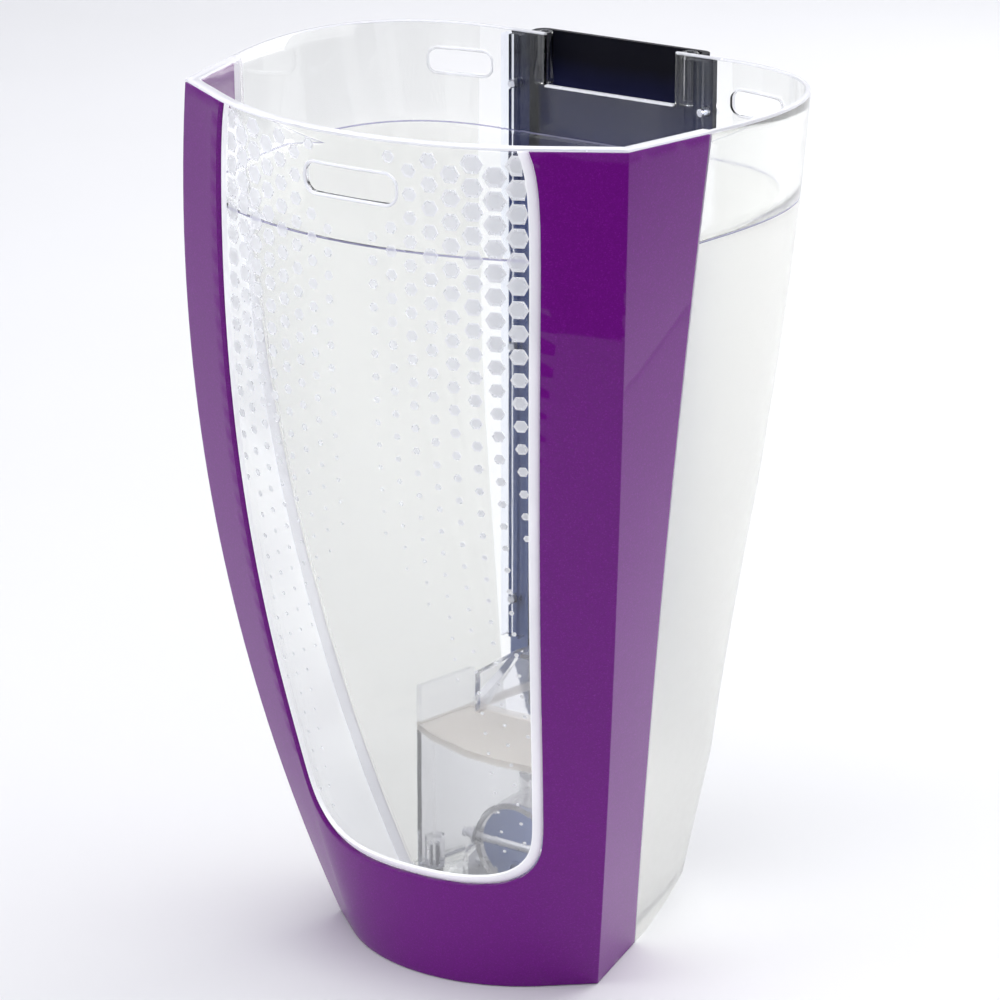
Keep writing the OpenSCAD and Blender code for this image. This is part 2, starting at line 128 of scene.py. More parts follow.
def outline(s, t):
    """A point of the body's outline in mm."""
    if s < 0:
        p = outline(-s, t)
        return (-p[0], p[1])
    if s > 4:
        p = outline(8 - s, t)
        return (-p[0], p[1])
    if s <= 1:
        cx, a = crease_x(t), facet_angle(t)
        x, wx = s * cx, WINDOW_S * cx
        if s <= WINDOW_S:
            r = wx / math.sin(a)
            y = crease_y(t) - (cx - wx) * math.tan(a) + r * math.cos(a) - math.sqrt(r * r - x * x)
            return (x, y)
        return (x, crease_y(t) - (cx - x) * math.tan(a))
    if s <= 2:
        k = s - 1
        return (crease_x(t) + k * (edge_x(t) - crease_x(t)),
                crease_y(t) + k * (edge_y(t) - crease_y(t)))
    if s <= 3:
        a = math.radians(90 * (s - 2))
        e = 2 / (2.35 + 1.15 * min(1, t / 0.47))
        u = math.sin(a) ** e
        v = 1 - max(0.0, math.cos(a)) ** e
        hx = heel_x(t)
        return (edge_x(t) + (hx - edge_x(t)) * u - (hx - flat_x(t)) * v,
                edge_y(t) + (REAR_Y - edge_y(t)) * u)
    return (flat_x(t) * (4 - s), REAR_Y)


def normal2(a, b):
    """The outward normal of the line from a to b."""
    ex, ey = b[0] - a[0], b[1] - a[1]
    n = math.hypot(ex, ey)
    return (ey / n, -ex / n)


NORMAL_STEP = 0.006  # how far along s the outline's direction is measured


def inset(s, t, d):
    """The outline's point moved inwards, so that both sides of a corner move by d."""
    p = outline(s, t)
    m, n = normal2(outline(s - NORMAL_STEP, t), p), normal2(p, outline(s + NORMAL_STEP, t))
    k = d / (1 + m[0] * n[0] + m[1] * n[1])
    return (p[0] - k * (m[0] + n[0]), p[1] - k * (m[1] + n[1]))


def skin(s, t, d):
    """The inset point at its height."""
    p = inset(s, t, d)
    return Vector((p[0], p[1], TANK_H * (1 - t)))


# ------------------------------------------------------------------ meshes
def add(name, verts, faces, body, mats, smooth=True, matidx=None):
    """A mesh object from points in millimetres."""
    me = bpy.data.meshes.new(name)
    me.from_pydata([Vector(v) * MM for v in verts], [], faces)
    me.validate()
    ob = bpy.data.objects.new(name, me)
    bpy.context.scene.collection.objects.link(ob)
    for m in mats:
        me.materials.append(m)
    if matidx is not None:
        for p, k in zip(me.polygons, matidx):
            p.material_index = k
    if smooth:
        for p in me.polygons:
            p.use_smooth = True
    ob["body"] = body
    return ob


def recalc(ob):
    """Turns the faces outwards."""
    bm = bmesh.new()
    bm.from_mesh(ob.data)
    bmesh.ops.recalc_face_normals(bm, faces=bm.faces)
    bm.to_mesh(ob.data)
    bm.free()


def sharpen(ob, degrees):
    """Marks edges sharper than this, so that smooth shading stops there."""
    ob.data.set_sharp_from_angle(angle=math.radians(degrees))


def bevel(ob, width, segments, angle=28):
    m = ob.modifiers.new("edge", "BEVEL")
    m.width = width * MM
    m.segments = segments
    m.limit_method = "ANGLE"
    m.angle_limit = math.radians(angle)
    m.harden_normals = True


def cut(ob, cutters):
    """Cuts the tools out of ob."""
    for c in cutters:
        m = ob.modifiers.new("cut", "BOOLEAN")
        m.operation = "DIFFERENCE"
        m.solver = "MANIFOLD"
        m.object = c
    apply(ob)
    for c in cutters:
        me = c.data
        bpy.data.objects.remove(c)
        bpy.data.meshes.remove(me)


def apply(ob):
    """Turns the modifiers into mesh."""
    dg = bpy.context.evaluated_depsgraph_get()
    me = bpy.data.meshes.new_from_object(ob.evaluated_get(dg), preserve_all_data_layers=True, depsgraph=dg)
    old = ob.data
    ob.modifiers.clear()
    ob.data = me
    me.name = ob.name
    bpy.data.meshes.remove(old)


def prism(points, low, high, place=None):
    """A closed prism: points in the XY plane in mm, from z low to high, then placed."""
    n = len(points)
    verts = [Vector((x, y, low)) for x, y in points] + [Vector((x, y, high)) for x, y in points]
    faces = [tuple(range(n - 1, -1, -1)), tuple(range(n, 2 * n))]
    faces += [(i, (i + 1) % n, n + (i + 1) % n, n + i) for i in range(n)]
    if place is not None:
        verts = [place @ v for v in verts]
    return verts, faces


def rounded(w, h, r, steps=8):
    """A rectangle with rounded corners, anticlockwise."""
    out = []
    for cx, cy, a0 in ((1, 1, 0), (-1, 1, 90), (-1, -1, 180), (1, -1, 270)):
        for i in range(steps + 1):
            a = math.radians(a0 + 90 * i / steps)
            out.append((cx * (w / 2 - r) + r * math.cos(a), cy * (h / 2 - r) + r * math.sin(a)))
    return out


def circle(r, n, cx=0.0, cy=0.0):
    turns = [2 * math.pi * i / n for i in range(n)]
    return [(cx + r * math.cos(a), cy + r * math.sin(a)) for a in turns]


# turns the XY plane to XZ, and +Z to -Y
UPRIGHT = Matrix(((1, 0, 0, 0), (0, 0, -1, 0), (0, 1, 0, 0), (0, 0, 0, 1)))


def shifted(x, y, z):
    return Matrix.Translation((x, y, z))


def cutter(points, low, high, place=None):
    """A prism to cut with."""
    v, f = prism(points, low, high, place)
    me = bpy.data.meshes.new("cutter")
    me.from_pydata([p * MM for p in v], [], f)
    ob = bpy.data.objects.new("cutter", me)
    bpy.context.scene.collection.objects.link(ob)
    recalc(ob)
    return ob


# ------------------------------------------------------------------ materials
def material(name):
    m = bpy.data.materials.new(name)
    m.use_nodes = True
    nt = m.node_tree
    nt.nodes.clear()
    out = nt.nodes.new("ShaderNodeOutputMaterial")
    return m, nt, out


def principled(nt, base, rough, **more):
    p = nt.nodes.new("ShaderNodeBsdfPrincipled")
    p.inputs["Base Color"].default_value = (*base, 1)
    p.inputs["Roughness"].default_value = rough
    for k, v in more.items():
        p.inputs[k.replace("_", " ")].default_value = v
    return p


def bump(nt, p, source, strength, distance):
    b = nt.nodes.new("ShaderNodeBump")
    b.inputs["Strength"].default_value = strength
    b.inputs["Distance"].default_value = distance
    nt.links.new(source, b.inputs["Height"])
    nt.links.new(b.outputs["Normal"], p.inputs["Normal"])


def coords(nt):
    tc = nt.nodes.new("ShaderNodeTexCoord")
    return tc.outputs["Object"]


def separate(nt, vector):
    """The three parts of a vector, as outputs X, Y and Z."""
    n = nt.nodes.new("ShaderNodeSeparateXYZ")
    nt.links.new(vector, n.inputs["Vector"])
    return n.outputs


def calculate(nt, operation, *values):
    """A math node: its inputs are numbers, or outputs of other nodes."""
    n = nt.nodes.new("ShaderNodeMath")
    n.operation = operation
    for socket, value in zip(n.inputs, values):
        if isinstance(value, (int, float)):
            socket.default_value = value
        else:
            nt.links.new(value, socket)
    return n.outputs["Value"]


def noise(nt, vec, scale, detail, rough=0.5):
    n = nt.nodes.new("ShaderNodeTexNoise")
    n.inputs["Scale"].default_value = scale
    n.inputs["Detail"].default_value = detail
    n.inputs["Roughness"].default_value = rough
    nt.links.new(vec, n.inputs["Vector"])
    return n.outputs["Fac"]


def ramp(nt, source, stops):
    r = nt.nodes.new("ShaderNodeValToRGB")
    el = r.color_ramp.elements
    while len(el) < len(stops):
        el.new(0.5)
    for e, (pos, col) in zip(el, stops):
        e.position = pos
        e.color = (*col, 1)
    nt.links.new(source, r.inputs["Fac"])
    return r.outputs["Color"]


def maprange(nt, source, a, b, c, d):
    m = nt.nodes.new("ShaderNodeMapRange")
    for k, v in (("From Min", a), ("From Max", b), ("To Min", c), ("To Max", d)):
        m.inputs[k].default_value = v
    nt.links.new(source, m.inputs["Value"])
    return m.outputs["Result"]


def lamps_pass(nt, out, shader, tint):
    """Light from the lamps goes through clear plastic, a little tinted."""
    lp = nt.nodes.new("ShaderNodeLightPath")
    tr = nt.nodes.new("ShaderNodeBsdfTransparent")
    tr.inputs["Color"].default_value = (*tint, 1)
    mix = nt.nodes.new("ShaderNodeMixShader")
    nt.links.new(lp.outputs["Is Shadow Ray"], mix.inputs["Fac"])
    nt.links.new(shader.outputs["BSDF"], mix.inputs[1])
    nt.links.new(tr.outputs["BSDF"], mix.inputs[2])
    nt.links.new(mix.outputs["Shader"], out.inputs["Surface"])


def clear_plastic(name, base, rough, haze, ior, tint=(0.97, 0.975, 0.98)):
    """Clear moulded plastic: flow waves in the surface and a faint haze in its polish."""
    m, nt, out = material(name)
    p = principled(nt, base, rough, Transmission_Weight=1.0, IOR=ior, Specular_IOR_Level=0.3)
    v = coords(nt)
    bump(nt, p, noise(nt, v, 22.0, 2.0), 0.06, 0.002)
    fine = noise(nt, v, 160.0, 3.0)
    nt.links.new(maprange(nt, fine, 0.35, 0.75, rough, rough + haze), p.inputs["Roughness"])
    lamps_pass(nt, out, p, tint)
    return m


def purple_plastic(name):
    """Metallic-flake purple plastic under a clear gloss."""
    m, nt, out = material(name)
    p = principled(nt, (0.14, 0.001, 0.205), 0.42, Coat_Weight=0.55, Coat_Roughness=0.03,
                   Coat_IOR=1.5, Specular_IOR_Level=0.05)
    v = coords(nt)
    vor = nt.nodes.new("ShaderNodeTexVoronoi")
    vor.inputs["Scale"].default_value = 2600.0
    nt.links.new(v, vor.inputs["Vector"])
    flake = ramp(nt, vor.outputs["Color"], [(0.0, (0.128, 0.0, 0.176)), (0.7, (0.154, 0.0, 0.212)),
                                            (1.0, (0.21, 0.006, 0.27))])
    drift = noise(nt, v, 14.0, 3.0)
    mix = nt.nodes.new("ShaderNodeMix")
    mix.data_type = "RGBA"
    mix.blend_type = "MULTIPLY"
    mix.inputs["Factor"].default_value = 0.3
    shade = ramp(nt, drift, [(0.3, (0.88, 0.88, 0.88)), (0.7, (1.0, 1.0, 1.0))])
    nt.links.new(flake, mix.inputs["A"])
    nt.links.new(shade, mix.inputs["B"])
    nt.links.new(mix.outputs["Result"], p.inputs["Base Color"])
    # long waves of the moulding, seen in the gloss
    b = nt.nodes.new("ShaderNodeBump")
    b.inputs["Strength"].default_value = 0.05
    b.inputs["Distance"].default_value = 0.001
    nt.links.new(noise(nt, v, 38.0, 1.0), b.inputs["Height"])
    nt.links.new(b.outputs["Normal"], p.inputs["Coat Normal"])
    nt.links.new(p.outputs["BSDF"], out.inputs["Surface"])
    return m


def milky_plastic(name, base, rough, through, tint, ior=1.35):
    """Clear plastic with a satin inside, that scatters part of the light."""
    m, nt, out = material(name)
    p = principled(nt, base, rough, Transmission_Weight=through, IOR=ior)
    v = coords(nt)
    fine = noise(nt, v, 240.0, 3.0)
    nt.links.new(maprange(nt, fine, 0.35, 0.75, rough, rough + 0.08), p.inputs["Roughness"])
    bump(nt, p, noise(nt, v, 30.0, 2.0), 0.05, 0.001)
    lamps_pass(nt, out, p, tint)
    return m


def riser_plastic(name):
    """Clear plastic of the riser box: pale lavender walls, and a satin beige roof with its front band."""
    m, nt, out = material(name)
    p = principled(nt, (0.95, 0.95, 0.97), 0.06, Transmission_Weight=0.9, IOR=1.18)
    v = coords(nt)
    # 1 within 1.6 mm of the roof's height, 66.8 mm, and 0 elsewhere
    band = calculate(nt, "COMPARE", separate(nt, v)["Z"], 0.0668, 0.0016)
    mix = nt.nodes.new("ShaderNodeMix")
    mix.data_type = "RGBA"
    mix.inputs["A"].default_value = (0.965, 0.965, 0.985, 1)
    mix.inputs["B"].default_value = (0.80, 0.765, 0.73, 1)
    nt.links.new(band, mix.inputs["Factor"])
    nt.links.new(mix.outputs["Result"], p.inputs["Base Color"])
    nt.links.new(maprange(nt, band, 0, 1, 0.92, 0.6), p.inputs["Transmission Weight"])
    wall_rough = maprange(nt, noise(nt, v, 240.0, 3.0), 0.35, 0.75, 0.05, 0.1)
    nt.links.new(calculate(nt, "MULTIPLY_ADD", band, 0.25, wall_rough), p.inputs["Roughness"])
    bump(nt, p, noise(nt, v, 40.0, 2.0), 0.08, 0.001)
    lamps_pass(nt, out, p, (0.95, 0.95, 0.97))
    return m


def cover_plastic(name):
    """Black cover. Its faces turned towards the tank get a painted navy sheen below the mouth, darkening
    into painted shade towards the top.
    """
    m, nt, out = material(name)
    p = principled(nt, (0.006, 0.006, 0.01), 0.45, Specular_IOR_Level=0.08)
    v = coords(nt)
    geo = nt.nodes.new("ShaderNodeNewGeometry")
    # painted light: faces turned towards the tank are navy, lightest low down and falling to near-black
    # painted shade near the top
    painted_sheen_facing = maprange(nt, separate(nt, geo.outputs["Normal"])["Y"], -0.3, -0.7, 0.0, 1.0)
    painted_light_height = calculate(nt, "MULTIPLY_ADD", noise(nt, v, 26.0, 3.0), 0.012, separate(nt, v)["Z"])
    tone = ramp(nt, maprange(nt, painted_light_height, 0.05, 0.32, 0.0, 1.0),
                [(0.0, (0.13, 0.18, 0.40)), (0.5, (0.095, 0.14, 0.36)), (0.79, (0.07, 0.105, 0.30)),
                 (0.84, (0.02, 0.025, 0.10)), (0.93, (0.01, 0.012, 0.055)), (0.985, (0.002, 0.002, 0.006))])
    mix = nt.nodes.new("ShaderNodeMix")
    mix.data_type = "RGBA"
    nt.links.new(painted_sheen_facing, mix.inputs["Factor"])
    mix.inputs["A"].default_value = (0.006, 0.006, 0.01, 1)
    nt.links.new(tone, mix.inputs["B"])
    nt.links.new(mix.outputs["Result"], p.inputs["Base Color"])
    fine = noise(nt, v, 900.0, 4.0, 0.6)
    bump(nt, p, fine, 0.02, 0.0001)
    nt.links.new(maprange(nt, fine, 0.3, 0.7, 0.42, 0.5), p.inputs["Roughness"])
    nt.links.new(p.outputs["BSDF"], out.inputs["Surface"])
    return m


def solid_plastic(name, base, rough, grain, scale=900.0, **more):
    """Opaque plastic with a fine spark texture and a little tone variation."""
    m, nt, out = material(name)
    p = principled(nt, base, rough, **more)
    v = coords(nt)
    n = noise(nt, v, scale, 4.0, 0.6)
    bump(nt, p, n, grain, 0.0002)
    tone = noise(nt, v, 30.0, 3.0)
    dark = tuple(c * 0.86 for c in base)
    light = tuple(min(1, c * 1.12 + 0.002) for c in base)
    nt.links.new(ramp(nt, tone, [(0.3, dark), (0.7, light)]), p.inputs["Base Color"])
    nt.links.new(maprange(nt, n, 0.3, 0.7, rough - 0.05, rough + 0.07), p.inputs["Roughness"])
    nt.links.new(p.outputs["BSDF"], out.inputs["Surface"])
    return m


def steel(name):
    """Plated steel with a fine grain."""
    m, nt, out = material(name)
    p = principled(nt, (0.72, 0.72, 0.74), 0.3, Metallic=1.0)
    v = coords(nt)
    mp = nt.nodes.new("ShaderNodeMapping")
    mp.inputs["Scale"].default_value = (1, 8, 8)
    nt.links.new(v, mp.inputs["Vector"])
    n = noise(nt, mp.outputs["Vector"], 500.0, 3.0)
    nt.links.new(maprange(nt, n, 0.3, 0.7, 0.22, 0.42), p.inputs["Roughness"])
    bump(nt, p, n, 0.1, 0.0001)
    nt.links.new(p.outputs["BSDF"], out.inputs["Surface"])
    return m


M_CLEAR = clear_plastic("clear_tank", (0.985, 0.99, 0.98), 0.02, 0.03, 1.42)
M_MILK = milky_plastic("clear_satin_side", (0.93, 0.93, 0.885), 0.3, 0.62, (0.95, 0.95, 0.92))
M_VEIL = milky_plastic("clear_upper_side", (0.87, 0.875, 0.845), 0.07, 0.86, (0.95, 0.95, 0.93))
# painted shade: a dark lavender line on the outer wall at the ledge, in place of the dark edge the inner
# step shows through the clear wall
M_LEDGE_SHADE = milky_plastic("clear_ledge_painted_shade", (0.42, 0.41, 0.6), 0.2, 0.45, (0.9, 0.9, 0.95))
M_EDGE_HIGHLIGHT = milky_plastic("clear_painted_edge_highlight", (0.97, 0.97, 1.0), 0.2, 0.3, (0.95, 0.95, 0.97))
M_RISER = riser_plastic("clear_riser")
M_PORT = milky_plastic("clear_port", (0.97, 0.965, 0.965), 0.08, 0.88, (0.95, 0.95, 0.95), 1.2)
M_RAIL = clear_plastic("clear_rail", (0.90, 0.92, 0.98), 0.03, 0.03, 1.08, (0.9, 0.92, 0.97))
M_CELL = milky_plastic("frosted_cell", (0.965, 0.97, 0.985), 0.4, 0.72, (0.95, 0.95, 0.97))
M_CELL_EDGE = milky_plastic("frosted_cell_edge", (0.98, 0.98, 1.0), 0.25, 0.45, (0.95, 0.95, 0.97))
M_PURPLE = purple_plastic("purple_flake")
# painted light: the pale trim glows by emission, though it is no lamp
M_TRIM_GLOW = solid_plastic("pale_trim", (0.95, 0.95, 0.96), 0.22, 0.04, Emission_Color=(0.95, 0.95, 1.0, 1),
                       Emission_Strength=0.2)
# painted light: the emission lifts the shade on the shroud's inside, seen through the window
M_LINING_GLOW = solid_plastic("pale_lining_painted_glow", (0.96, 0.95, 0.98), 0.5, 0.06, Emission_Color=(0.93, 0.93, 1.0, 1),
                          Emission_Strength=0.4)
M_BLACK = cover_plastic("black_cover")
M_NAVY = solid_plastic("slate_flap", (0.17, 0.22, 0.42), 0.45, 0.1)
M_SEAL = solid_plastic("pale_silicone", (0.75, 0.76, 0.8), 0.5, 0.1)
M_RUBBER = solid_plastic("black_rubber", (0.02, 0.02, 0.022), 0.7, 0.3, 1400.0)
M_STEEL = steel("zinc_steel")

CAD_LOOK = {
    "duct_cover": M_BLACK, "duct_cover_seal": M_BLACK, "duct_cover_screws": M_STEEL,
    "duct_rail_left": M_RAIL, "duct_rail_right": M_RAIL, "riser_housing": M_RISER,
    "riser_seal": M_SEAL, "riser_screws": M_STEEL, "inlet_port": M_PORT,
    "inlet_port_gasket": M_SEAL, "inlet_port_screws": M_STEEL, "flap_pin": M_STEEL,
    "flap_pin_clips": M_STEEL, "inlet_flap": M_NAVY, "flap_seal": M_RUBBER,
    "inlet_ring_seal": M_RUBBER,
}
for name, look in CAD_LOOK.items():
    ob = frame["nodes"][name]
    if not ob.material_slots:
        ob.data.materials.append(None)
    for place in ob.material_slots:
        place.link = "OBJECT"
        place.material = look

# ------------------------------------------------------------------ tank shell
REAR_GAP = 0.12  # a hair's gap to the black seal on the rear wall
LEDGE_SHADE_W = 0.7  # height of the painted dark shade line at the ledge
STEP_S = 1.985  # from here to s = 2 the front's recess runs out
HOLE_R = 19.3  # the port's hole in the floor
HOLE_RING_R = 20.8  # a ring of points round that hole
OUTER_STEPS, INNER_STEPS = 46, 40
FOOT_R = 1.92  # the round where the inner wall meets the floor
EDGE_HIGHLIGHT_Z = TANK_H - LIP_H - 0.2  # the rim's faces above this get the painted edge highlight
FIRST_OUTER = 6  # place of the lowest outer ring in tank_rings
TANK_MATERIALS = [M_CLEAR, M_MILK, M_EDGE_HIGHLIGHT, M_VEIL, M_LEDGE_SHADE]
CLEAR, SATIN, EDGE_HIGHLIGHT, UPPER, LEDGE_SHADE = range(5)


def spread(a, b, n):
    """n values from a towards b, without b."""
    return [a + (b - a) * i / n for i in range(n)]


half = (spread(0, WINDOW_S, 26) + spread(WINDOW_S, 1, 5) + spread(1, 1.975, 8)
        + [STEP_S, 1.993, 2.0] + spread(2.0, 2.1, 4)[1:] + spread(2.1, 3, 24) + spread(3, 4, 5))
STATIONS = half + [4] + [-s for s in reversed(half[1:])]


def level(t, front_in, side_in):
    """A ring of points round the body, one for each station, at one depth."""
    out = []
    for s in STATIONS:
        k = min(1, max(0, (abs(s) - STEP_S) / (2 - STEP_S)))
        gap = REAR_GAP * min(1, max(0, (abs(s) - 2.5) / 0.3)) if side_in < 1 else 0
        out.append(skin(s, t, front_in + (side_in - front_in) * k + gap))
    return out


def wall_ring(t, inwards):
    """A ring this far inside the outer skin, which is recessed in front for the shroud."""
    return level(t, COVER_IN + inwards, inwards)


def heel(side_in):
    """A ring at the foot of the wall, which rises towards the rear."""
    pts = wall_ring(1, side_in)
    for p in pts:
        p.z = HEEL_RISE * max(0, (p.y - HEEL_START) / (REAR_Y - HEEL_START))
    return pts


def ring_loop(rings):
    """Rings joined one to the next, and the last to the first."""
    n, m = len(rings[0]), len(rings)
    faces = []
    for i in range(m):
        for j in range(n):
            a, b = i * n + j, i * n + (j + 1) % n
            c, d = ((i + 1) % m) * n + j, ((i + 1) % m) * n + (j + 1) % n
            faces.append((a, c, d, b))
    return [p for r in rings for p in r], faces


def port_ring(r, z):
    """A circle round the inlet port, with one point for each station."""
    out = []
    for p in wall_ring(1, WALL):
        k = r / math.hypot(p.x, p.y)
        out.append(Vector((p.x * k, p.y * k, z)))
    return out


def tank_finish(rings):
    """Each face's place in TANK_MATERIALS."""
    top = next(k for k in range(FIRST_OUTER, len(rings)) if rings[k][0].z > EDGE_HIGHLIGHT_Z)
    ledge_shade_z = TANK_H - LEDGE_DEPTH - LEDGE_SHADE_W / 2
    index = []
    for i, ring in enumerate(rings):
        above = rings[(i + 1) % len(rings)]
        outer = FIRST_OUTER <= i < top
        for station, p, q in zip(STATIONS, ring, above):
            s = abs(station)
            # painted highlight: milky white on the rim's top faces and on the narrow band where the front's
            # recess ends, in place of the light on these edges
            if i >= FIRST_OUTER and min(p.z, q.z) > EDGE_HIGHLIGHT_Z:
                index.append(EDGE_HIGHLIGHT)
            elif outer and 1.98 < s < 2.0:
                index.append(EDGE_HIGHLIGHT)
            # the painted shade line at the ledge
            elif outer and abs(p.z - ledge_shade_z) < 0.1:
                index.append(LEDGE_SHADE)
            elif outer and 2.0 <= s < 2.95:
                index.append(SATIN if p.z < TANK_H - LEDGE_DEPTH else UPPER)
            else:
                index.append(CLEAR)
    return index


def tank_rings():
    """The tank's section as rings: under the floor, up the outside, over the rim, down the inside."""
    lip_t, ledge_t = LIP_H / TANK_H, LEDGE_DEPTH / TANK_H
    ledge_shade_t = LEDGE_SHADE_W / 2 / TANK_H
    rings = [port_ring(HOLE_R, FLOOR_LOW), port_ring(HOLE_RING_R, FLOOR_LOW)]
    rings.append(wall_ring(1 - FLOOR_LOW / TANK_H, WALL))
    rings += [heel(d) for d in (WALL, WALL - 0.5, 0.5, 0.0)]

    # the outer skin, with two rings close together for the painted shade line at the ledge
    depths = [0.98 - i * (0.978 - lip_t) / OUTER_STEPS for i in range(OUTER_STEPS + 1)]
    depths = [t for t in depths if abs(t - ledge_t) > 0.004] + [ledge_t + ledge_shade_t, ledge_t - ledge_shade_t]
    rings += [wall_ring(t, 0) for t in sorted(depths, reverse=True)]

    # the lip over the shroud's top edge, and the round of the rim
    lip = ((lip_t + 0.0004, COVER_IN - 0.1, 0), (lip_t, COVER_IN - 0.4, 0), (lip_t, 0.2, 0),
           (lip_t - 0.0006, 0, 0), (0.0012, 0, 0), (0.0004, 0.15, 0.12), (0, 0.45, 0.4))
    rings += [level(t, front_in, side_in) for t, front_in, side_in in lip]
    rings += [wall_ring(0, RIM_WALL - 0.4), wall_ring(0.0014, RIM_WALL)]

    # the inside: the thin rim, the ledge, the wall and its round foot
    rings += [wall_ring(ledge_t * k / 7, RIM_WALL) for k in range(1, 7)]
    rings += [wall_ring(ledge_t - 0.001, RIM_WALL), wall_ring(ledge_t, RIM_WALL + 0.15),
              wall_ring(ledge_t + 0.0022, WALL - 0.1)]
    top, foot = ledge_t + 0.0034, 1 - (FLOOR_TOP + FOOT_R) / TANK_H
    rings += [wall_ring(top + (foot - top) * i / INNER_STEPS, WALL) for i in range(INNER_STEPS + 1)]
    for degrees in (30, 60, 90):
        a = math.radians(degrees)
        rings.append(wall_ring(foot + FOOT_R / TANK_H * math.sin(a), WALL + FOOT_R * (1 - math.cos(a))))
    rings += [port_ring(HOLE_RING_R, FLOOR_TOP), port_ring(HOLE_R, FLOOR_TOP)]
    return rings


# Width, height and depth below the rim of the snap slots for the lid
FRONT_SLOT, REAR_SLOT = (37, 10, 18), (24, 8.6, 15)
FRONT_SLOT_Y = -131
REAR_SLOT_X, REAR_SLOT_Y, REAR_SLOT_TURN = 62.5, 19, math.radians(26)
MOUTH_HALF, MOUTH_LOW = 28, 300.0  # the duct's upper opening
PASSAGE_HALF, PASSAGE_Z = 26, (60, 80)  # the duct's lower opening, into the riser
RISER_SCREWS, RISER_SCREW_R = ((38.5, -32.5), (28.5, 16.5)), 1.8
PORT_SCREWS, PORT_SCREW_R = ((25.5, 0), (21, -26.5)), 1.5
COVER_SCREW_X, COVER_SCREW_Z, COVER_SCREW_R = 40.4, (100, 200, 300), 1.8


def slot_tool(slot, x, y, turn_z):
    w, h, below = slot
    place = shifted(x, y, TANK_H - below) @ Matrix.Rotation(turn_z, 4, "Z") @ UPRIGHT
    return cutter(rounded(w, h, h / 2 - 1), -15, 15, place)


def rear_opening(half_w, low, high):
    """A tool for a rectangular opening through the rear wall."""
    near, far = REAR_Y - 5, REAR_Y + 5
    return cutter([(-half_w, near), (half_w, near), (half_w, far), (-half_w, far)], low, high)


def tank_tools():
    """The tools for the snap slots, the duct's two openings and the screw holes."""
    tools = [slot_tool(FRONT_SLOT, 0, FRONT_SLOT_Y, 0)]
    for side in (-1, 1):
        tools.append(slot_tool(REAR_SLOT, side * REAR_SLOT_X, REAR_SLOT_Y, -side * REAR_SLOT_TURN))
    tools.append(rear_opening(MOUTH_HALF, MOUTH_LOW, TANK_H + 10))
    tools.append(rear_opening(PASSAGE_HALF, *PASSAGE_Z))
    for places, r in ((RISER_SCREWS, RISER_SCREW_R), (PORT_SCREWS, PORT_SCREW_R)):
        for x, y in places:
            for side in (-1, 1):
                tools.append(cutter(circle(r, 24, side * x, y), FLOOR_LOW - 1, FLOOR_TOP + 1))
    for z in COVER_SCREW_Z:
        for side in (-1, 1):
            place = shifted(side * COVER_SCREW_X, REAR_Y, z) @ UPRIGHT
            tools.append(cutter(circle(COVER_SCREW_R, 24), -6, 6, place))
    return tools


def build_tank():
    rings = tank_rings()
    v, f = ring_loop(rings)
    tank = add("tank_clear_body", v, f, "tank", TANK_MATERIALS, matidx=tank_finish(rings))
    recalc(tank)
    cut(tank, tank_tools())
    sharpen(tank, 40)
    return tank


tank = build_tank()
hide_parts("tank_shell")


# ------------------------------------------------------------------ milky rims of the snap slots, painted edge highlights
SLOT_RIM_OUT = 0.6  # from the slot's edge to the middle of its rim
SLOT_RIM_R = 0.55


def wall_station(t, centre, angle, along):
    """The s in the rear corner whose point lies this far along a line from the centre."""
    low, high = 2.0, 3.6
    for _ in range(40):
        mid = (low + high) / 2
        p = outline(mid, t)
        d = (p[0] - centre[0]) * math.cos(angle) + (p[1] - centre[1]) * math.sin(angle)
        if d > along:
            low = mid
        else:
            high = mid
    return low


def closed_wire(points, radius):
    """A thin round rim along a closed loop."""
    sides = 8
    verts, faces = [], []
    n = len(points)
    mid = sum(points, Vector()) / n
    for i, p in enumerate(points):
        d = (points[(i + 1) % n] - points[i - 1]).normalized()
        a = (p - mid) - d * (p - mid).dot(d)
        a.normalize()
        b = d.cross(a)
        for j in range(sides):
            k = 2 * math.pi * j / sides
            verts.append(p + (a * math.cos(k) + b * math.sin(k)) * radius)
    for i in range(n):
        for j in range(sides):
            a, b = i * sides + j, i * sides + (j + 1) % sides
            c, d = ((i + 1) % n) * sides + (j + 1) % sides, ((i + 1) % n) * sides + j
            faces.append((a, b, c, d))
    return verts, faces


def slot_rim(slot):
    """The loop round a slot as (distance along the wall, depth / height)."""
    w, h, below = slot
    loop = rounded(w + 2 * SLOT_RIM_OUT, h + 2 * SLOT_RIM_OUT, h / 2 - 1 + SLOT_RIM_OUT, 10)
    return [(along, (below - z) / TANK_H) for along, z in loop]


def build_slot_edge_highlights():
    loops = {"front": [], "left": [], "right": []}
    for along, t in slot_rim(FRONT_SLOT):
        loops["front"].append(skin(along / crease_x(t), t, COVER_IN + 0.1))
    for along, t in slot_rim(REAR_SLOT):
        s = wall_station(t, (REAR_SLOT_X, REAR_SLOT_Y), -REAR_SLOT_TURN, along)
        p = skin(s, t, 0.3)
        loops["right"].append(p)
        loops["left"].append(Vector((-p.x, p.y, p.z)))
    for tag, loop in loops.items():
        v, f = closed_wire(loop, SLOT_RIM_R)
        # painted highlight: milky rings in place of the light on the slot edges
        rim = add("slot_rim_" + tag, v, f, "tank", [M_EDGE_HIGHLIGHT])
        recalc(rim)


build_slot_edge_highlights()


# ------------------------------------------------------------------ mouth of the duct
BOSS_X, BOSS_R, BOSS_BORE = 31, 3.3, 1.5
BOSS_TOP = TANK_H - 0.6
AXIS_R = 0.02  # keeps the bore's floor from closing to one point


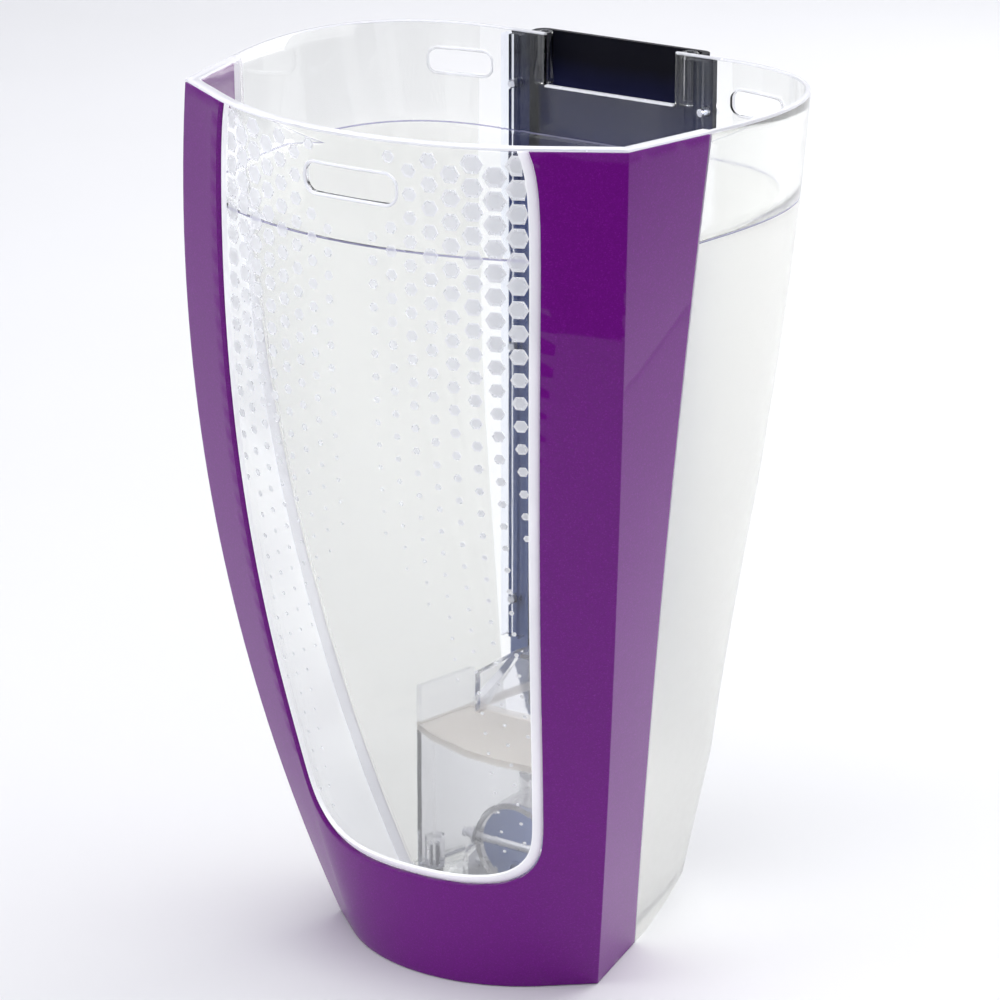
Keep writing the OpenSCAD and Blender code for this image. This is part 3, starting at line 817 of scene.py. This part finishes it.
def tube(rings, n, cx, cy):
    """A closed solid of revolution: a closed section of (radius, z), turned round an axis."""
    verts, faces = [], []
    m = len(rings)
    for r, z in rings:
        verts += [Vector((x, y, z)) for x, y in circle(r, n, cx, cy)]
    for i in range(m):
        for j in range(n):
            a, b = i * n + j, i * n + (j + 1) % n
            c, d = ((i + 1) % m) * n + (j + 1) % n, ((i + 1) % m) * n + j
            faces.append((a, b, c, d))
    return verts, faces


# Open screw bosses in the corners of the mouth
boss_section = [
    (BOSS_BORE, MOUTH_LOW + 2), (AXIS_R, MOUTH_LOW + 2), (AXIS_R, MOUTH_LOW),
    (BOSS_R - 0.4, MOUTH_LOW), (BOSS_R, MOUTH_LOW + 0.4), (BOSS_R, BOSS_TOP - 0.4),
    (BOSS_R - 0.3, BOSS_TOP), (BOSS_BORE + 0.3, BOSS_TOP), (BOSS_BORE, BOSS_TOP - 0.3),
]
for side, tag in ((-1, "left"), (1, "right")):
    v, f = tube(boss_section, 48, side * BOSS_X, REAR_Y + 3)
    boss = add("mouth_boss_" + tag, v, f, "tank", [M_CLEAR])
    recalc(boss)
    sharpen(boss, 40)


# A milky strip along the mouth's sill: a painted highlight on its edge
sill_half, sill_front, sill_back = 27.4, REAR_Y - 2.7, REAR_Y - 0.4
v, f = prism([(-sill_half, sill_front), (sill_half, sill_front), (sill_half, sill_back),
              (-sill_half, sill_back)], MOUTH_LOW + 0.05, MOUTH_LOW + 0.9)
sill = add("mouth_sill", v, f, "tank", [M_EDGE_HIGHLIGHT], smooth=False)
recalc(sill)
bevel(sill, 0.3, 2)
apply(sill)


# ------------------------------------------------------------------ purple shroud
def window_edge(h):
    """The window's edge as s, at the depth h."""
    return WINDOW_S - 0.04 * math.exp(-h / 9)


def turn(k):
    """k 0 to 1 round the window's lower corner: share of the half width, share of the drop."""
    a = math.radians(45 * (1 - math.cos(math.pi * k)))
    return math.sqrt(max(0.0, math.cos(a))), math.sqrt(math.sin(a))


SHROUD_TOP = LIP_H + JOINT_GAP
FACET_END = 1.98
LINING_DEPTH = 16.0  # the shroud's inside is purple above this, and pale below, with a painted glow that lifts its shade


def shroud_grid():
    """Rows of (s, depth) over the shroud, with the cells of the window left out."""
    up, low, turn_n = 60, 26, 26
    side_s = [-FACET_END, -1.965] + [-1.95 + 0.9 * i / 8 for i in range(9)] + [-1.03, -1.012, -1.0]
    n_side = len(side_s) + 4
    cols = []
    for s in side_s:
        cols.append(("fixed", s, 0.0))
    for k in (0.04, 0.1, 0.45, 0.8):
        cols.append(("pillar", k, 0.0))
    for k in range(turn_n + 1):
        cols.append(("band", 0.0, k / turn_n))
    right = [(a, b, c) for a, b, c in reversed(cols[:-1])]
    n_left = len(cols)
    rows = []
    for i in range(up + low + 1):
        row = []
        for j, (kind, a, k) in enumerate(cols + right):
            left = j < n_left
            share, drop = turn(k) if kind == "band" else (1.0, 0.0)
            if i <= up:
                h = SHROUD_TOP + (CORNER_DEPTH - SHROUD_TOP) * i / up
                if kind == "band" and i == up:
                    h = CORNER_DEPTH + (WINDOW_DEPTH - CORNER_DEPTH) * drop
            else:
                top = CORNER_DEPTH + (WINDOW_DEPTH - CORNER_DEPTH) * drop
                h = top + (TANK_H - top) * (i - up) / low
            w = window_edge(h)
            if kind == "fixed":
                s = a
            elif kind == "pillar":
                s = -(1 + (w - 1) * a)
            else:
                s = -w * share
            row.append((s if left else -s, h))
        rows.append(row)
    ncol = len(cols + right)
    keep = [[i >= up or j < n_side or j >= ncol - 1 - n_side for j in range(ncol - 1)]
            for i in range(up + low)]
    return rows, keep


def build_sheet(name, rows, keep, thickness, mats):
    """A closed sheet over the body from the kept cells of a grid, with its own finish inside."""
    nr, nc = len(rows), len(rows[0])

    def on(i, j):
        return 0 <= i < nr - 1 and 0 <= j < nc - 1 and keep[i][j]

    verts = [skin(s, h / TANK_H, d) for d in (0, thickness) for row in rows for s, h in row]
    layer = nr * nc
    faces = []
    for i in range(nr - 1):
        for j in range(nc - 1):
            if not on(i, j):
                continue
            a, b, e, f = i * nc + j, i * nc + j + 1, (i + 1) * nc + j + 1, (i + 1) * nc + j
            faces.append((a, b, e, f))
            faces.append((a + layer, f + layer, e + layer, b + layer))
            if not on(i - 1, j):
                faces.append((a, a + layer, b + layer, b))
            if not on(i + 1, j):
                faces.append((f, e, e + layer, f + layer))
            if not on(i, j - 1):
                faces.append((a, f, f + layer, a + layer))
            if not on(i, j + 1):
                faces.append((b, b + layer, e + layer, e))
    used = sorted({k for f in faces for k in f})
    index = {k: n for n, k in enumerate(used)}
    lined = TANK_H - LINING_DEPTH
    inside = [int(min(f) >= layer and max(verts[k].z for k in f) < lined) for f in faces]
    faces = [tuple(index[k] for k in f) for f in faces]
    ob = add(name, [verts[k] for k in used], faces, "tank", mats, matidx=inside)
    recalc(ob)
    return ob


rows, keep = shroud_grid()
shroud = build_sheet("front_shroud_purple", rows, keep, SHROUD_T, [M_PURPLE, M_LINING_GLOW])
bevel(shroud, 0.45, 3, 24)
apply(shroud)
sharpen(shroud, 30)
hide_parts("front_shroud")


# ------------------------------------------------------------------ pale trim
def build_trim():
    """A pale strip between the shroud and the window: down one side, round below, up the other."""
    side_rows, turn_n = 60, 30
    total = side_rows + turn_n
    # section across the strip: (how far in from the shroud, depth below the body's surface)
    section = [(0.0, 1.95), (0.1, 1.78), (0.5, 1.5), (1.6, 1.02), (2.6, 0.55), (3.0, 0.38),
               (3.15, 0.4), (TRIM_W, 0.6), (TRIM_W, COVER_IN - 0.35), (0.0, COVER_IN - 0.35)]
    m = len(section)
    verts, faces = [], []
    for k in range(2 * total + 1):
        q, side = min(k, 2 * total - k), 1 if k <= total else -1
        share, drop = turn(max(0, q - side_rows) / turn_n)
        for across, d in section:
            if q <= side_rows:
                h = SHROUD_TOP + (CORNER_DEPTH - SHROUD_TOP) * q / side_rows
            else:
                h = CORNER_DEPTH + (WINDOW_DEPTH - JOINT_GAP - across - CORNER_DEPTH) * drop
            s = share * (window_edge(h) - (JOINT_GAP + across) / crease_x(h / TANK_H))
            verts.append(skin(side * s, h / TANK_H, d))
    for k in range(2 * total):
        for i in range(m):
            a, b = k * m + i, k * m + (i + 1) % m
            faces.append((a, a + m, b + m, b))
    faces.append(tuple(range(m - 1, -1, -1)))
    faces.append(tuple(range(2 * total * m, 2 * total * m + m)))
    ob = add("window_trim_strip", verts, faces, "tank", [M_TRIM_GLOW])
    recalc(ob)
    sharpen(ob, 50)
    return ob


trim = build_trim()
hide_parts("window_trim")


# ------------------------------------------------------------------ honeycomb on the window
def build_honeycomb():
    """Raised frosted hexagons on the window, in staggered columns, shrinking downwards."""
    pitch_x, pitch_z, first_x = 7.2, 8.12, 59.7
    verts, faces, finish = [], [], []
    raise_h, sink = 0.2, 0.05
    for side in (-1, 1):
        for col in range(8):
            x0 = first_x - col * pitch_x
            for row in range(36):
                h = 6.5 + pitch_z * (row + (0.5 if col % 2 else 0.0))
                if h > WINDOW_DEPTH - 8:
                    continue
                t = h / TANK_H
                half_w = crease_x(t) * window_edge(h)
                limit = half_w - JOINT_GAP - TRIM_W - 0.15
                size = 0.7 + 3.4 / (1 + math.exp((h - 95) / 26))
                size *= max(0.0, 1.0 - 0.09 * max(0, col - 1.5))
                if limit - x0 < 0.2 * size or size < 0.6:
                    continue
                if h > CORNER_DEPTH - 6:
                    k = (h + size - CORNER_DEPTH) / (WINDOW_DEPTH - 5 - CORNER_DEPTH)
                    if k > 0.98 or x0 + size > (half_w - 4) * (1 - max(0, k) ** 4) ** 0.25:
                        continue
                # keep clear of the latch slot
                if abs(x0) < 22 and abs(h - 18) < 10:
                    continue
                base = len(verts)
                for r, lift in ((size, -sink), (size * 0.98, raise_h), (size * 0.8 - 0.05, raise_h * 0.9),
                                (size * 0.74 - 0.05, raise_h * 0.45)):
                    for q in range(6):
                        a = math.radians(60 * q)
                        x = min(x0 + r * math.cos(a), limit)
                        hh = h + r * math.sin(a)
                        verts.append(skin(side * x / crease_x(hh / TANK_H), hh / TANK_H, COVER_IN - lift))
                for ring in range(3):
                    for q in range(6):
                        a, b = base + ring * 6 + q, base + ring * 6 + (q + 1) % 6
                        faces.append((a, b, b + 6, a + 6))
                        finish.append(1)
                faces.append(tuple(base + 18 + q for q in range(6)))
                faces.append(tuple(base + q for q in range(5, -1, -1)))
                finish += [0, 0]
    ob = add("window_honeycomb", verts, faces, "tank", [M_CELL, M_CELL_EDGE], smooth=False, matidx=finish)
    recalc(ob)
    return ob


comb = build_honeycomb()


# ------------------------------------------------------------------ flap spring
def sweep(points, radius):
    """A round wire along points."""
    sides = 10
    verts, faces = [], []
    n = len(points)
    up = Vector((0, 0, 1))
    prev = None
    for i, p in enumerate(points):
        d = (points[min(i + 1, n - 1)] - points[max(i - 1, 0)]).normalized()
        if prev is None:
            ref = d.cross(up) if abs(d.dot(up)) < 0.9 else d.cross(Vector((1, 0, 0)))
            prev = ref.normalized()
        prev = (prev - d * prev.dot(d)).normalized()
        other = d.cross(prev)
        for j in range(sides):
            a = 2 * math.pi * j / sides
            verts.append(p + (prev * math.cos(a) + other * math.sin(a)) * radius)
    for i in range(n - 1):
        for j in range(sides):
            a, b = i * sides + j, i * sides + (j + 1) % sides
            faces.append((a, b, b + sides, a + sides))
    faces.append(tuple(range(sides - 1, -1, -1)))
    faces.append(tuple(range((n - 1) * sides, n * sides)))
    return verts, faces


def build_spring():
    """A coil round the end of the flap's pin, with a leg down to the port's flange."""
    pin_y, pin_z = -34.5, 28.5
    start_x, end_x = 19.0, 22.0
    leg_low = 13.7
    coil_r, wire_r = 3.05, 0.36
    turns, steps = 4, 24
    total = turns * steps
    pts = []
    for i in range(total + 1):
        a = 2 * math.pi * i / steps
        x = start_x + (end_x - start_x) * i / total
        pts.append(Vector((x, pin_y + coil_r * math.cos(a), pin_z - coil_r * math.sin(a))))
    for i in range(1, 9):
        pts.append(Vector((end_x + 0.1, pin_y + coil_r, pin_z - (pin_z - leg_low) * i / 8)))
    v, f = sweep(pts, wire_r)
    ob = add("flap_spring_wire", v, f, "tank", [M_STEEL])
    recalc(ob)
    return ob


spring = build_spring()
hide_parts("flap_spring")


# ------------------------------------------------------------------ ride
for ob in list(bpy.data.objects):
    if "body" in ob and ob.type in ("MESH", "CURVE"):
        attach(ob, ob["body"])


# ------------------------------------------------------------------ floor and lights
FLOOR_FRONT = 0.9  # metres; the gloss of the front facets shows this edge


def build_floor():
    """A pale floor that sweeps up behind into a backdrop."""
    profile = [(-FLOOR_FRONT, 0.0), (1.6, 0.0)]
    for i in range(1, 13):
        a = math.radians(90 * i / 12)
        profile.append((1.6 + 0.9 * math.sin(a), 0.9 * (1 - math.cos(a))))
    profile.append((2.5, 3.0))
    me = bpy.data.meshes.new("floor")
    verts, faces = [], []
    for x in (-4.0, 4.0):
        verts += [(x, y, z) for y, z in profile]
    n = len(profile)
    for i in range(n - 1):
        faces.append((i, i + n, i + n + 1, i + 1))
    me.from_pydata(verts, [], faces)
    ob = bpy.data.objects.new("floor", me)
    bpy.context.scene.collection.objects.link(ob)
    for p in me.polygons:
        p.use_smooth = True
    m, nt, out = material("floor_paper")
    p = principled(nt, (0.9, 0.9, 0.9), 0.85)
    v = coords(nt)
    tone = ramp(nt, noise(nt, v, 3.0, 3.0), [(0.3, (0.82, 0.82, 0.815)), (0.7, (0.835, 0.835, 0.835))])
    nt.links.new(tone, p.inputs["Base Color"])
    nt.links.new(p.outputs["BSDF"], out.inputs["Surface"])
    me.materials.append(m)
    return ob


floor = build_floor()
floor.rotation_euler = (0, 0, AZIMUTH)
floor.location = (0, 0, -0.0004)


def area(name, place, look, size, power):
    """A rectangular lamp at a place in metres, turned to look at another place."""
    d = bpy.data.lights.new(name, "AREA")
    d.shape = "RECTANGLE"
    d.size, d.size_y = size
    d.energy = power
    ob = bpy.data.objects.new(name, d)
    ob.location = Vector(place)
    ob.rotation_mode = "QUATERNION"
    ob.rotation_quaternion = (Vector(look) - Vector(place)).to_track_quat("-Z", "Y")
    bpy.context.scene.collection.objects.link(ob)


CENTRE = (0, -0.05, 0.16)


def around(right, forward, z):
    """A place given to the right of and in front of the object, as the camera sees it."""
    c, d = math.cos(AZIMUTH), math.sin(AZIMUTH)
    return (right * c + forward * d, right * d - forward * c, z)


area("key_top", around(0.1, 0.3, 1.9), CENTRE, (1.6, 1.6), 15)
area("soft_left", around(-1.5, 0.7, 0.9), CENTRE, (0.9, 1.5), 8)
area("soft_right", around(0.62, 0.0, 0.205), around(0.0, 0.0, 0.2), (0.9, 0.4), 0.6)
area("back_wash", around(0.3, -1.3, 1.1), around(0, -0.9, 0), (1.6, 1.0), 6)
area("rear_right", around(1.3, -0.9, 0.8), CENTRE, (0.9, 1.2), 12)

world = bpy.data.worlds.new("studio")
world.use_nodes = True
wt = world.node_tree
bg = wt.nodes["Background"]
bg.inputs["Strength"].default_value = 0.8
way = wt.nodes.new("ShaderNodeTexCoord")
# 0 straight down, 0.5 at the horizon, 1 straight up
height = calculate(wt, "MULTIPLY_ADD", separate(wt, way.outputs["Generated"])["Z"], 0.5, 0.5)
sky = ramp(wt, height, [(0.47, (0.2, 0.2, 0.26)), (0.53, (0.66, 0.67, 0.75))])
wt.links.new(sky, bg.inputs["Color"])
bpy.context.scene.world = world
bpy.context.scene.view_settings.view_transform = "Standard"
bpy.context.scene.view_settings.look = "None"
